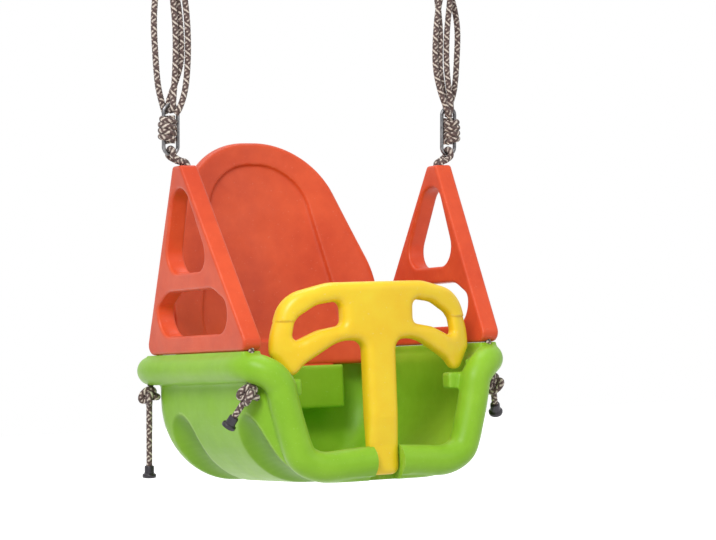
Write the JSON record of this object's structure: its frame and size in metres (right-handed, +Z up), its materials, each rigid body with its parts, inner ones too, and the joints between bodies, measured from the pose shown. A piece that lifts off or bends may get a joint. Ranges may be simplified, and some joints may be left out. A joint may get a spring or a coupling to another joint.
{
  "type": "baby swing seat",
  "caption": "Bucket swing seat for a small child with a rolled rim, leg openings, a backrest, a lift-out front guard and rope-carried side frames on two hang rings.",
  "frame": {"origin": "midway between the two hang rings, on the axis that the seat swings about", "axes": "+Z up, -Y the way that the seat faces, +X towards the seat's left-hand side as seen from behind it"},
  "size_m": [0.3926, 0.3493, 0.6296],
  "materials": {
    "green_plastic": "satin moulded green",
    "orange_backrest": "satin moulded orange",
    "orange_frame": "satin moulded orange",
    "yellow_plastic": "satin moulded yellow",
    "braided_rope": "braided, brown with cream flecks",
    "rope_knot": "the same rope, knotted",
    "rope_tail": "the same rope, loose ends",
    "black_cap": "smooth near-black",
    "black_spool": "smooth black",
    "steel_link": "plain round wire",
    "steel_ring": "plain round bar"
  },
  "bodies": {
    "hangers": {"hang_ring_left": "steel_ring", "hang_ring_right": "steel_ring"},
    "seat": {"bucket_seat": "green_plastic", "side_frame_left": "orange_frame", "seat_rope_left": "braided_rope", "hanging_rope_left": "braided_rope", "rope_link_left": "steel_link", "hitch_knot_left": "rope_knot", "eye_spool_left": "black_spool", "stopper_knot_front_left": "rope_knot", "rope_tail_front_left": "rope_tail", "tail_cap_front_left": "black_cap", "stopper_knot_rear_left": "rope_knot", "rope_tail_rear_left": "rope_tail", "tail_cap_rear_left": "black_cap", "side_frame_right": "orange_frame", "seat_rope_right": "braided_rope", "hanging_rope_right": "braided_rope", "rope_link_right": "steel_link", "hitch_knot_right": "rope_knot", "eye_spool_right": "black_spool", "stopper_knot_front_right": "rope_knot", "rope_tail_front_right": "rope_tail", "tail_cap_front_right": "black_cap", "stopper_knot_rear_right": "rope_knot", "rope_tail_rear_right": "rope_tail", "tail_cap_rear_right": "black_cap"},
    "guard": {"front_guard": "yellow_plastic"},
    "back": {"backrest": "orange_backrest"}
  },
  "joints": [
    {"name": "swing", "type": "hinge", "parent": "hangers", "child": "seat", "pos_m": [0, 0, 0], "axis": [1, 0, 0], "range_deg": [-50, 50]},
    {"name": "guard_lift", "type": "slide", "parent": "seat", "child": "guard", "axis": [0, 0.0872, 0.9962], "range_m": [0, 0.15]},
    {"name": "backrest_lift", "type": "slide", "parent": "seat", "child": "back", "axis": [0, 0.2196, 0.9756], "range_m": [0, 0.09]}
  ]
}
